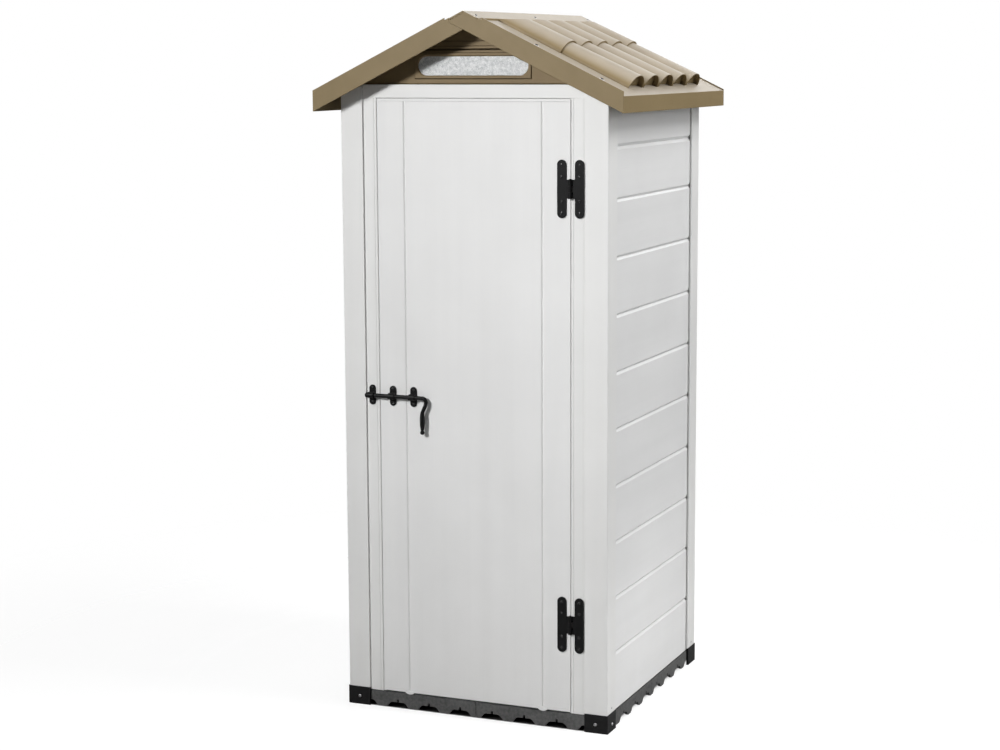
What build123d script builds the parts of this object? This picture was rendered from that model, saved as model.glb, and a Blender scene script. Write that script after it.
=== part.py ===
from build123d import *
import os
from math import atan, cos, sin

os.makedirs("parts", exist_ok=True)

# ------------------------------------------------------------------ driving dimensions (mm)
# Frame: X to the right, Y to the back, Z up; origin on the ground at the middle of the shed.
BODY = 810.0  # width and depth over the corner posts
HB = BODY / 2
Z_FLOOR = 48.0  # top of the floor tiles
Z_BLOCK = 53.5  # top of the corner blocks, where the posts stand
Z_RAIL = 1778.0  # underside of the top rails
Z_PLATE = 1815.0  # top of the front and rear rails
Z_POST = 1808.0  # top of the corner posts

# floor tiles
TILE = 400.0
TILE_GAP = 0.9  # half of the joint between two tiles
TILE_PLATE = 4.0
TILE_SKIRT = 8.0
TILE_RIB = 3.0
ARCH_PITCH = 100.0
ARCH = ((39.0, 0.0), (33.0, 3.5), (26.0, 12.5), (19.0, 16.0))  # half outline of an arch
SLIT_WIDE = 6.5
SLIT_TOP = 24.5
TILE_REBATE = (6.0, 3.0)  # step along the outer top edges: depth, height

# corner blocks
BLOCK_FACE = 407.0  # outer face of a block, measured from the middle
BLOCK_IN = 337.0  # inner end of a block's outer walls
BLOCK_PLATE_IN = 351.0  # inner end of the plate that carries the post

# posts, boards and jambs
POST_X = 68.0  # post face width at the front and rear
POST_Y = 70.0  # post face width at the sides
LEG = 39.0  # thickness of a post leg
SLOT_DEEP = 12.5  # depth of the slot that takes the board ends
BOARD = 26.0  # board, jamb and door thickness
BOARD_SET = 7.0  # boards lie this far behind the post faces
JAMB_SET = 4.0  # jambs, front rail and door lie this far behind the post faces
JAMB_STEP = 2.2  # the jambs step back by this beside the posts
SLOT_FIT = 0.3
SIDE_GAP = 2.0  # open line between the side boards and the posts' lips
BOARD_PITCH = 160.8
BOARD_FIRST = 213.5  # first joint above the floor
TOP_JOINT = 1645.0  # joint below the top board
BOARDS = 11
BEVEL = (6.5, 5.0)  # groove between two boards: height, depth of a bevel
TOP_BEVEL = (8.5, 7.0)
SKIN = 1.5

# door
JAMB_IN = 294.5  # inner face of the jambs
DOOR_HALF = 292.9
DOOR_BODY = 288.0  # half width behind the front flange
DOOR_FLANGE = 4.0
LIP_IN = 289.5  # inner edge of the lips behind the flange
DOOR_SEAM = 209.0  # joint between the centre panel and the stiles
DOOR_Z0 = 51.0
DOOR_Z1 = 1776.4
DOOR_BODY_Z1 = 1771.0
DOOR_CAP = 7.8
Y_FACE = -(HB - JAMB_SET)  # outer face of jambs and door
Y_BACK = Y_FACE + BOARD

# hinges
AXIS_X = 293.5
AXIS_Y = Y_FACE - 6.0
HINGE_Z = {"upper": 1532.2, "lower": 305.5}
LEAF_WIDE = 27.0
LEAF_TALL = 160.0
LEAF_THICK = 3.0
DOOR_LEAF_X = 267.7
JAMB_LEAF_X = 319.8
KNUCKLE_R = 5.5
KNUCKLE_HALF = 26.0
KNUCKLE_MID = 8.4
KNUCKLE_END = 8.8
WEB_GAP = 6.2  # the leaves' webs end this far from the axis
PIN_R = 2.5
PIN_PLAY = 0.05
LEAF_HOLES = (-66.0, -34.0, 34.0, 66.0)

# latch
BOLT_Z = 929.0
BOLT_Y = Y_FACE - 13.5
BOLT_R = 5.8
BOLT_PLAY = 0.3
BOLT_TIP = -306.5
KEEPER_X = -317.0
STAPLES = {"outer": -252.0, "inner": -187.0}
STAPLE_WIDE = 20.0
STAPLE_TALL = 58.0
STAPLE_THICK = 2.5
SADDLE_R = 8.6
STAPLE_HOLES = (-20.5, 20.5)
SPIGOT_R = 3.0
BEND_X = -143.0  # where the handle turns down from the bar
HANDLE_X = -154.0  # middle of the grip
HANDLE_Y = BOLT_Y - 1.5

# roof
SLOPE = 0.4833
ALPHA = atan(SLOPE)
CA, SA = cos(ALPHA), sin(ALPHA)
ROOF_X = 465.3  # half width over the eave fascias
ROOF_Y = 460.3  # half depth over the ridge cap
BARGE_Y = 459.3  # outer face of the sloping fascias
FASCIA = 4.0
LIP_APEX = 2023.8  # height at which the fascia lips would meet
FASCIA_TALL = 58.8
LIP = 13.4  # the lips stand this far above the sheet
SHEET = 4.0
RIDGE_TOP = 2015.7
RIDGE_HALF = 42.0
TONGUE_LOW = RIDGE_TOP - SLOPE * RIDGE_HALF - 11.0  # tip of the right fascias' tongues
LIP_START = 56.0
LIP_NOTCH = 6.5  # step in the front lip beside the ridge cap
REAR_LIP = 4.0  # the rear lip stands this far above the sheet
ROLLS = 5
ROLL_PITCH = 128.0
ROLL_U = (24.0, 254.0, 475.0)  # along the slope: start, overlap, end
ROLL_SMALL = (53.0, 33.0)
ROLL_LARGE = (58.5, 38.5)
ROLL_SKIN = 3.0
ROLL_RIM = 2.0  # rim around the recessed lower end of a roll
ROLL_RECESS = 16.0
ROLL_FLAT_Z = 1994.0  # the rolls start as a level cut below the ridge
GABLE_HALF = 383.0
GABLE_FACE = -393.0
GABLE_THICK = 18.0
WINDOW = (332.0, 53.0)
WINDOW_Z = 1866.2
FRAME_SIZE = (353.0, 73.0)  # opening in the gable
FRAME_GAP = (2.2, 1.8)  # shadow gaps beside the frame and, on average, above and below it
FRAME_RISE = 0.6  # the frame sits this much above the middle of its opening
FRAME_PROUD = 3.0

CORNERS = (
    ("front_left", -1, -1),
    ("front_right", 1, -1),
    ("rear_left", -1, 1),
    ("rear_right", 1, 1),
)


def lip_z(x):
    return LIP_APEX - SLOPE * abs(x)


def sheet_z(x):
    return LIP_APEX - LIP - SLOPE * abs(x)


def under_z(x):
    return sheet_z(x) - SHEET / CA


def slope_plane(side, u, w):
    """Section plane across one roof slope: local x is the depth, local y the slope's normal."""
    x = side * (u * CA + w * SA)
    z = LIP_APEX - LIP - u * SA + w * CA
    return Plane(origin=(x, 0, z), x_dir=(0, side, 0), z_dir=(side * CA, 0, -SA))


def roof_screw_plane(side, x, y, lift):
    """Plane on a roof slope for a screw head: local z is the slope's normal."""
    return Plane(
        origin=(side * x, y, sheet_z(x) + lift),
        x_dir=(0, 1, 0),
        z_dir=(side * SA, 0, CA),
    )


def block(x0, x1, y0, y1, z0, z1, mode=Mode.ADD):
    """Box between two corners, for use inside a part."""
    with Locations(((x0 + x1) / 2, (y0 + y1) / 2, (z0 + z1) / 2)):
        Box(abs(x1 - x0), abs(y1 - y0), abs(z1 - z0), mode=mode)


# screw seats shared by the screws and by the pieces they hold
BLOCK_SCREWS = []
POST_SCREWS = []
for _, sx, sy in CORNERS:
    BLOCK_SCREWS.append(
        Plane(origin=(sx * 370, sy * BLOCK_FACE, 25), x_dir=(1, 0, 0), z_dir=(0, sy, 0))
    )
    if sy < 0:
        BLOCK_SCREWS.append(
            Plane(origin=(sx * BLOCK_FACE, sy * 370, 21), x_dir=(0, 1, 0), z_dir=(sx, 0, 0))
        )
    POST_SCREWS.append(
        Plane(origin=(sx * HB, sy * 369, 67), x_dir=(0, 1, 0), z_dir=(sx, 0, 0))
    )
RIM_SCREWS = [
    roof_screw_plane(side, x, y, 0.0)
    for side in (-1, 1)
    for x in (186.0, 376.0)
    for y in (-384.0, 384.0)
]
RIDGE_SCREWS = [
    roof_screw_plane(side, 29.0, y, RIDGE_TOP - (LIP_APEX - LIP))
    for side in (-1, 1)
    for y in (-436.0, 0.0, 436.0)
]
DOOR_LEAF_SCREWS = [
    Plane(origin=(DOOR_LEAF_X, Y_FACE - LEAF_THICK, z + dz), x_dir=(1, 0, 0), z_dir=(0, -1, 0))
    for z in HINGE_Z.values()
    for dz in LEAF_HOLES
]
JAMB_LEAF_SCREWS = [
    Plane(origin=(JAMB_LEAF_X, Y_FACE - LEAF_THICK, z + dz), x_dir=(1, 0, 0), z_dir=(0, -1, 0))
    for z in HINGE_Z.values()
    for dz in LEAF_HOLES
]
STAPLE_SCREWS = [
    Plane(origin=(x, Y_FACE - STAPLE_THICK, BOLT_Z + dz), x_dir=(1, 0, 0), z_dir=(0, -1, 0))
    for x in STAPLES.values()
    for dz in STAPLE_HOLES
]
KEEPER_SCREWS = [
    Plane(origin=(KEEPER_X, Y_FACE - STAPLE_THICK, BOLT_Z + dz), x_dir=(1, 0, 0), z_dir=(0, -1, 0))
    for dz in STAPLE_HOLES
]

# ------------------------------------------------------------------ base
for name, sx, sy in CORNERS:
    x0, x1 = sorted((sx * TILE_GAP, sx * TILE))
    y0, y1 = sorted((sy * TILE_GAP, sy * TILE))
    with BuildPart() as floor_tile:
        block(x0, x1, y0, y1, 0, Z_FLOOR)
        # underside: a grid of cells left between the skirt and the ribs
        cell_lo = TILE_GAP + TILE_SKIRT
        cell_hi = TILE - TILE_SKIRT
        step = (cell_hi - cell_lo + TILE_RIB) / 4
        centres = [cell_lo + (step - TILE_RIB) / 2 + i * step for i in range(4)]
        with Locations(
            *[
                (sx * a, sy * b, (Z_FLOOR - TILE_PLATE) / 2)
                for a in centres
                for b in centres
            ]
        ):
            Box(
                step - TILE_RIB,
                step - TILE_RIB,
                Z_FLOOR - TILE_PLATE,
                mode=Mode.SUBTRACT,
            )
        # arches in the two outer skirts
        arch = [(-a, b) for a, b in ARCH] + [(a, b) for a, b in reversed(ARCH)]
        arch += [(ARCH[0][0], -2.0), (-ARCH[0][0], -2.0), arch[0]]
        skirt_mid = TILE - TILE_SKIRT / 2
        with BuildSketch(Plane.XZ.offset(-sy * skirt_mid)):
            for i in range(4):
                with BuildLine():
                    Polyline(*[(sx * ARCH_PITCH * (i + 0.5) + a, b) for a, b in arch])
                make_face()
        extrude(amount=TILE_SKIRT / 2 + 1, both=True, mode=Mode.SUBTRACT)
        with BuildSketch(Plane.YZ.offset(sx * skirt_mid)):
            for i in range(4):
                with BuildLine():
                    Polyline(*[(sy * ARCH_PITCH * (i + 0.5) + a, b) for a, b in arch])
                make_face()
        extrude(amount=TILE_SKIRT / 2 + 1, both=True, mode=Mode.SUBTRACT)
        # step along the outer top edges, a shadow line under the walls
        step_in, step_low = TILE - TILE_REBATE[0], Z_FLOOR - TILE_REBATE[1]
        block(
            sx * step_in, sx * (TILE + 1), y0 - 1, y1 + 1, step_low, Z_FLOOR + 1, mode=Mode.SUBTRACT
        )
        block(
            x0 - 1, x1 + 1, sy * step_in, sy * (TILE + 1), step_low, Z_FLOOR + 1, mode=Mode.SUBTRACT
        )
        # a short slit above each arch of the outer skirts
        with Locations(
            *[
                (sx * ARCH_PITCH * (i + 0.5), sy * (TILE - TILE_SKIRT / 2), SLIT_TOP / 2)
                for i in range(3)
            ]
        ):
            Box(SLIT_WIDE, TILE_SKIRT + 2, SLIT_TOP, mode=Mode.SUBTRACT)
        with Locations(
            *[
                (sx * (TILE - TILE_SKIRT / 2), sy * ARCH_PITCH * (i + 0.5), SLIT_TOP / 2)
                for i in range(3)
            ]
        ):
            Box(TILE_SKIRT + 2, SLIT_WIDE, SLIT_TOP, mode=Mode.SUBTRACT)
        for seat in BLOCK_SCREWS:
            with BuildSketch(seat):
                Circle(2.0)
            extrude(amount=-14.0, mode=Mode.SUBTRACT)
    floor_tile.part.label = f"floor_tile_{name}"
    export_step(floor_tile.part, f"parts/floor_tile_{name}.step")

    with BuildPart() as corner_block:
        block(sx * (TILE + 0.3), sx * BLOCK_FACE, sy * BLOCK_IN, sy * BLOCK_FACE, 0, Z_BLOCK)
        block(sx * BLOCK_IN, sx * BLOCK_FACE, sy * (TILE + 0.3), sy * BLOCK_FACE, 0, Z_BLOCK)
        block(
            sx * BLOCK_PLATE_IN,
            sx * BLOCK_FACE,
            sy * BLOCK_PLATE_IN,
            sy * BLOCK_FACE,
            Z_FLOOR + 0.3,
            Z_BLOCK,
        )
        # rebate inside the walls, above the floor, for the jambs and boards
        rebate = -Y_FACE + 0.3
        block(
            sx * (BLOCK_IN - 1),
            sx * BLOCK_PLATE_IN,
            sy * TILE,
            sy * rebate,
            Z_FLOOR - 0.3,
            Z_BLOCK + 1,
            mode=Mode.SUBTRACT,
        )
        block(
            sx * TILE,
            sx * rebate,
            sy * (BLOCK_IN - 1),
            sy * BLOCK_PLATE_IN,
            Z_FLOOR - 0.3,
            Z_BLOCK + 1,
            mode=Mode.SUBTRACT,
        )
        outer = corner_block.edges().filter_by(Axis.Z)
        corner = [
            e
            for e in outer
            if abs(abs(e.center().X) - BLOCK_FACE) < 0.01
            and abs(abs(e.center().Y) - BLOCK_FACE) < 0.01
        ]
        fillet(corner, radius=2.5)
        for seat in BLOCK_SCREWS:
            with BuildSketch(seat):
                Circle(2.0)
            extrude(amount=-14.0, mode=Mode.SUBTRACT)
    corner_block.part.label = f"corner_block_{name}"
    export_step(corner_block.part, f"parts/corner_block_{name}.step")

# ------------------------------------------------------------------ corner posts
for name, sx, sy in CORNERS:
    face = HB - (JAMB_SET if sy < 0 else BOARD_SET)
    b0, b1 = face - BOARD - SLOT_FIT, face + SLOT_FIT - (JAMB_STEP if sy < 0 else 0.0)
    s0, s1 = HB - BOARD_SET - BOARD - SLOT_FIT, HB - BOARD_SET + SIDE_GAP
    px, py = HB - POST_X, HB - POST_Y
    inner = HB - LEG
    outline = [
        (HB, HB),
        (HB, py),
        (s1, py),
        (s1, py + SLOT_DEEP),
        (s0, py + SLOT_DEEP),
        (s0, py),
        (inner, py),
        (px, inner),
        (px, b0),
        (px + SLOT_DEEP, b0),
        (px + SLOT_DEEP, b1),
        (px, b1),
        (px, HB),
        (HB, HB),
    ]
    with BuildPart() as corner_post:
        with BuildSketch(Plane.XY.offset(Z_BLOCK)) as section:
            with BuildLine():
                Polyline(*[(sx * a, sy * b) for a, b in outline])
            make_face()
            # hollow cells of the extrusion
            with Locations((sx * 385.5, sy * 385.5)):
                Rectangle(34.0, 34.0, mode=Mode.SUBTRACT)
            with Locations((sx * 385.5, sy * 358.25)):
                Rectangle(34.0, 16.5, mode=Mode.SUBTRACT)
            with Locations((sx * 359.0, sy * 385.5)):
                Rectangle(15.0, 34.0, mode=Mode.SUBTRACT)
            # cell behind the slanted inner wall
            with BuildLine():
                Polyline(
                    (sx * 362.0, sy * 344.0),
                    (sx * 362.0, sy * 362.0),
                    (sx * 346.0, sy * 362.0),
                    (sx * 362.0, sy * 344.0),
                )
            make_face(mode=Mode.SUBTRACT)
            corner = section.vertices().sort_by_distance((sx * HB, sy * HB, Z_BLOCK))[0]
            fillet(corner, radius=4.0)
            lips = [
                section.vertices().sort_by_distance((sx * HB, sy * py, Z_BLOCK))[0],
                section.vertices().sort_by_distance((sx * px, sy * HB, Z_BLOCK))[0],
            ]
            fillet(lips, radius=1.2)
        extrude(amount=Z_POST - Z_BLOCK)
        for seat in POST_SCREWS:
            with BuildSketch(seat):
                Circle(1.6)
            extrude(amount=-10.0, mode=Mode.SUBTRACT)
    corner_post.part.label = f"corner_post_{name}"
    export_step(corner_post.part, f"parts/corner_post_{name}.step")

# ------------------------------------------------------------------ wall boards
board_in, board_out = HB - BOARD_SET - BOARD, HB - BOARD_SET


def joint_z(k):
    """Height of the joint above board k."""
    return TOP_JOINT if k == BOARDS - 2 else BOARD_FIRST + BOARD_PITCH * k


def board_outline(k):
    """Section of board k: distance from the middle of the shed against height."""
    z0 = Z_FLOOR if k == 0 else joint_z(k - 1) + 0.1
    z1 = Z_RAIL - 0.2 if k == BOARDS - 1 else joint_z(k) - 0.1
    low_bevel = TOP_BEVEL if k == BOARDS - 1 else BEVEL
    high_bevel = TOP_BEVEL if k == BOARDS - 2 else BEVEL
    t0, t1 = board_in + 8.0, board_in + 18.0
    pts = [(board_in, z0)]
    if k > 0:
        pts += [
            (t0 - 0.3, z0),
            (t0 - 0.3, z0 + 8.5),
            (t1 + 0.3, z0 + 8.5),
            (t1 + 0.3, z0),
            (board_out - low_bevel[1], z0),
            (board_out, z0 + low_bevel[0]),
        ]
    else:
        pts += [(board_out, z0)]
    if k < BOARDS - 1:
        pts += [
            (board_out, z1 - high_bevel[0]),
            (board_out - high_bevel[1], z1),
            (t1, z1),
            (t1, z1 + 7.8),
            (t0, z1 + 7.8),
            (t0, z1),
            (board_in, z1),
        ]
    else:
        pts += [(board_out, z1), (board_in, z1)]
    pts.append(pts[0])
    return pts, z0, z1


def board_cells(z0, z1):
    """Centres and size of the four hollow cells in a board."""
    lo, hi = z0 + 8.5 + SKIN, z1 - 8.5 - SKIN
    tall = (hi - lo - 3 * SKIN) / 4
    return [lo + tall / 2 + i * (tall + SKIN) for i in range(4)], tall


for name, sx in (("left", -1), ("right", 1)):
    with BuildPart() as wall_boards:
        for k in range(BOARDS):
            pts, z0, z1 = board_outline(k)
            cells, tall = board_cells(z0, z1)
            with BuildSketch(Plane.XZ):
                with BuildLine():
                    Polyline(*[(sx * a, b) for a, b in pts])
                make_face()
                with Locations(*[(sx * (board_in + BOARD / 2), c) for c in cells]):
                    Rectangle(BOARD - 2 * SKIN, tall, mode=Mode.SUBTRACT)
                if k < BOARDS - 1:
                    # hollow tongue
                    with Locations((sx * (board_in + 13.0), z1)):
                        Rectangle(7.0, 12.0, mode=Mode.SUBTRACT)
            extrude(amount=HB - POST_Y + SLOT_DEEP - 0.5, both=True)
        # small notches where the joints run into the posts
        for k in range(BOARDS - 1):
            for sy in (-1, 1):
                block(
                    sx * (board_out - 7.0),
                    sx * (board_out + 1.0),
                    sy * (HB - POST_Y - 5.5),
                    sy * (HB - POST_Y + 3.0),
                    joint_z(k) + 0.1,
                    joint_z(k) + 10.0,
                    mode=Mode.SUBTRACT,
                )
    wall_boards.part.label = f"{name}_wall_boards"
    export_step(wall_boards.part, f"parts/{name}_wall_boards.step")

with BuildPart() as rear_wall_boards:
    for k in range(BOARDS):
        pts, z0, z1 = board_outline(k)
        cells, tall = board_cells(z0, z1)
        with BuildSketch(Plane.YZ):
            with BuildLine():
                Polyline(*pts)
            make_face()
            with Locations(*[(board_in + BOARD / 2, c) for c in cells]):
                Rectangle(BOARD - 2 * SKIN, tall, mode=Mode.SUBTRACT)
            if k < BOARDS - 1:
                with Locations((board_in + 13.0, z1)):
                    Rectangle(7.0, 12.0, mode=Mode.SUBTRACT)
        extrude(amount=HB - POST_X + SLOT_DEEP - 0.5, both=True)
rear_wall_boards.part.label = "rear_wall_boards"
export_step(rear_wall_boards.part, "parts/rear_wall_boards.step")

# ------------------------------------------------------------------ door frame and top rails
for name, sx in (("left", -1), ("right", 1)):
    jamb_out = HB - POST_X + SLOT_DEEP - 0.3
    outline = [
        (JAMB_IN, Y_FACE + 1.5),
        (JAMB_IN + 1.5, Y_FACE),
        (JAMB_IN + 6.7, Y_FACE),
        (JAMB_IN + 8.0, Y_FACE + 1.2),
        (JAMB_IN + 9.3, Y_FACE),
        (329.5, Y_FACE),
        (336.3, Y_FACE + 2.0),
        (336.3, Y_FACE + JAMB_STEP),
        (jamb_out, Y_FACE + JAMB_STEP),
        (jamb_out, Y_BACK),
        (318.0, Y_BACK),
        (318.0, Y_BACK + 9.0),
        (283.0, Y_BACK + 9.0),
        (283.0, Y_BACK + 1.0),
        (JAMB_IN, Y_BACK + 1.0),
        # small lip behind the door's front flange
        (JAMB_IN, Y_FACE + 10.0),
        (LIP_IN, Y_FACE + 10.0),
        (LIP_IN, Y_FACE + DOOR_FLANGE + 0.5),
        (JAMB_IN, Y_FACE + DOOR_FLANGE + 0.5),
        (JAMB_IN, Y_FACE + 1.5),
    ]
    with BuildPart() as door_jamb:
        with BuildSketch(Plane.XY.offset(Z_FLOOR)):
            with BuildLine():
                Polyline(*[(sx * a, b) for a, b in outline])
            make_face()
            with Locations((sx * 312.5, (Y_FACE + Y_BACK) / 2)):
                Rectangle(31.0, BOARD - 5.0, mode=Mode.SUBTRACT)
        extrude(amount=Z_RAIL - Z_FLOOR)
        seats = JAMB_LEAF_SCREWS if sx > 0 else KEEPER_SCREWS
        for seat in seats:
            with BuildSketch(seat):
                Circle(2.0)
            extrude(amount=-9.0, mode=Mode.SUBTRACT)
    door_jamb.part.label = f"{name}_door_jamb"
    export_step(door_jamb.part, f"parts/{name}_door_jamb.step")

with BuildPart() as front_top_rail:
    with BuildSketch(Plane.YZ):
        with Locations(((Y_FACE + Y_BACK) / 2, (Z_RAIL + Z_PLATE) / 2)):
            Rectangle(BOARD, Z_PLATE - Z_RAIL)
        with Locations(((Y_FACE + JAMB_STEP + Y_BACK) / 2, (Z_RAIL + Z_PLATE) / 2)):
            Rectangle(BOARD - JAMB_STEP - 5.0, Z_PLATE - Z_RAIL - 5.0, mode=Mode.SUBTRACT)
    extrude(amount=HB - POST_X + SLOT_DEEP - 0.3, both=True)
    # lip behind the door's front flange
    block(
        -LIP_IN + 0.3,
        LIP_IN - 0.3,
        Y_FACE + DOOR_FLANGE + 0.5,
        Y_FACE + 10.0,
        DOOR_BODY_Z1 + 1.5,
        Z_RAIL + 1.0,
    )
    # the ends step back beside the posts, as the jambs do
    for sx in (-1, 1):
        block(
            sx * 336.0,
            sx * 352.0,
            Y_FACE - 1,
            Y_FACE + JAMB_STEP,
            Z_RAIL - 1,
            Z_PLATE + 1,
            mode=Mode.SUBTRACT,
        )
front_top_rail.part.label = "front_top_rail"
export_step(front_top_rail.part, "parts/front_top_rail.step")

with BuildPart() as rear_top_rail:
    with BuildSketch(Plane.YZ):
        with Locations((board_in + BOARD / 2, (Z_RAIL + Z_PLATE) / 2)):
            Rectangle(BOARD, Z_PLATE - Z_RAIL)
            Rectangle(BOARD - 5.0, Z_PLATE - Z_RAIL - 5.0, mode=Mode.SUBTRACT)
    extrude(amount=HB - POST_X + SLOT_DEEP - 0.3, both=True)
rear_top_rail.part.label = "rear_top_rail"
export_step(rear_top_rail.part, "parts/rear_top_rail.step")

for name, sx in (("left", -1), ("right", 1)):
    with BuildPart() as side_top_rail:
        with BuildSketch(Plane.XZ):
            with Locations((sx * (board_in + BOARD / 2), (Z_RAIL + Z_POST) / 2)):
                Rectangle(BOARD, Z_POST - Z_RAIL)
                Rectangle(BOARD - 5.0, Z_POST - Z_RAIL - 5.0, mode=Mode.SUBTRACT)
        extrude(amount=HB - POST_Y + SLOT_DEEP - 0.3, both=True)
    side_top_rail.part.label = f"{name}_top_rail"
    export_step(side_top_rail.part, f"parts/{name}_top_rail.step")

# ------------------------------------------------------------------ gables and window
gable_outline = [
    (-GABLE_HALF, Z_PLATE + 0.2),
    (GABLE_HALF, Z_PLATE + 0.2),
    (GABLE_HALF, under_z(GABLE_HALF) - 0.5),
    (0, under_z(0) - 0.5),
    (-GABLE_HALF, under_z(GABLE_HALF) - 0.5),
    (-GABLE_HALF, Z_PLATE + 0.2),
]
with BuildPart() as front_gable:
    with BuildSketch(Plane.XZ.offset(-(GABLE_FACE + GABLE_THICK))):
        with BuildLine():
            Polyline(*gable_outline)
        make_face()
        with Locations((0, WINDOW_Z)):
            Rectangle(*FRAME_SIZE, mode=Mode.SUBTRACT)
    extrude(amount=GABLE_THICK)
    for z, half, deep in ((1911.0, 2.8, 12.0), (1920.0, 1.5, 3.0), (1934.0, 1.5, 3.0)):
        block(-300, 300, GABLE_FACE - 1, GABLE_FACE + deep, z - half, z + half, mode=Mode.SUBTRACT)
    # shadow line above the rail
    block(-400, 400, GABLE_FACE - 1, GABLE_FACE + 8, Z_PLATE, Z_PLATE + 3.2, mode=Mode.SUBTRACT)
    for seat in RIM_SCREWS:
        with BuildSketch(seat):
            Circle(2.0)
        extrude(amount=-12.0, mode=Mode.SUBTRACT)
front_gable.part.label = "front_gable"
export_step(front_gable.part, "parts/front_gable.step")

with BuildPart() as rear_gable:
    with BuildSketch(Plane.XZ.offset(GABLE_FACE)):
        with BuildLine():
            Polyline(*gable_outline)
        make_face()
    extrude(amount=GABLE_THICK)
    for z in (1863.0, 1911.0):
        block(-400, 400, -GABLE_FACE - 4, -GABLE_FACE + 1, z - 2.5, z + 2.5, mode=Mode.SUBTRACT)
    for seat in RIM_SCREWS:
        with BuildSketch(seat):
            Circle(2.0)
        extrude(amount=-12.0, mode=Mode.SUBTRACT)
rear_gable.part.label = "rear_gable"
export_step(rear_gable.part, "parts/rear_gable.step")

with BuildPart() as gable_window_frame:
    with BuildSketch(Plane.XZ.offset(-(GABLE_FACE + 12.0))):
        with Locations((0, WINDOW_Z + FRAME_RISE)):
            Rectangle(FRAME_SIZE[0] - 2 * FRAME_GAP[0], FRAME_SIZE[1] - 2 * FRAME_GAP[1])
        with Locations((0, WINDOW_Z)):
            SlotOverall(*WINDOW, mode=Mode.SUBTRACT)
    extrude(amount=12.0 + FRAME_PROUD)
    with BuildSketch(Plane.XZ.offset(-(GABLE_FACE + 12.0))):
        with Locations((0, WINDOW_Z)):
            Rectangle(FRAME_SIZE[0] - 0.4, FRAME_SIZE[1] - 0.4)
            SlotOverall(*WINDOW, mode=Mode.SUBTRACT)
    extrude(amount=2.5)
    rim = gable_window_frame.faces().sort_by(Axis.Y)[0].inner_wires()[0].edges()
    chamfer(rim, length=3.0)
gable_window_frame.part.label = "gable_window_frame"
export_step(gable_window_frame.part, "parts/gable_window_frame.step")

with BuildPart() as gable_window_pane:
    with BuildSketch(Plane.XZ.offset(-(GABLE_FACE + 15.2))):
        with Locations((0, WINDOW_Z)):
            Rectangle(FRAME_SIZE[0] - 4.0, FRAME_SIZE[1] - 4.0)
    extrude(amount=3.0)
    # raised field that fills the frame's opening, hollow behind
    with BuildSketch(Plane.XZ.offset(-(GABLE_FACE + 13.0))):
        with Locations((0, WINDOW_Z)):
            SlotOverall(WINDOW[0] - 0.6, WINDOW[1] - 0.6)
    extrude(amount=11.5)
    with BuildSketch(Plane.XZ.offset(-(GABLE_FACE + 16.0))):
        with Locations((0, WINDOW_Z)):
            SlotOverall(WINDOW[0] - 6.6, WINDOW[1] - 6.6)
    extrude(amount=11.5, mode=Mode.SUBTRACT)
gable_window_pane.part.label = "gable_window_pane"
export_step(gable_window_pane.part, "parts/gable_window_pane.step")

# ------------------------------------------------------------------ roof
roll_rows = [(i - (ROLLS - 1) / 2) * ROLL_PITCH for i in range(ROLLS)]

# room inside the tile rolls, open below the sheet
with BuildPart() as roll_room:
    for course in range(2):
        u0 = ROLL_U[course] - (ROLL_SKIN if course else 0.0)
        u1 = ROLL_U[course + 1] - ROLL_SKIN - (ROLL_RECESS + 1.0 if course else 0.0)
        for v in roll_rows:
            for u, (a, b) in ((u0, ROLL_SMALL), (u1, ROLL_LARGE)):
                with BuildSketch(slope_plane(1, u, 0)):
                    with BuildLine():
                        EllipticalCenterArc(
                            (v, 0), a - ROLL_SKIN, b - ROLL_SKIN, start_angle=0, arc_size=180
                        )
                        Polyline(
                            (v - a + ROLL_SKIN, 0),
                            (v - a + ROLL_SKIN, -9.0),
                            (v + a - ROLL_SKIN, -9.0),
                            (v + a - ROLL_SKIN, 0),
                        )
                    make_face()
            loft(ruled=True)
    block(-600, 600, -600, 600, ROLL_FLAT_Z - ROLL_SKIN, 2200, mode=Mode.SUBTRACT)
    block(-600, RIDGE_HALF + 4.0, -600, 600, 1700, 2200, mode=Mode.SUBTRACT)

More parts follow.
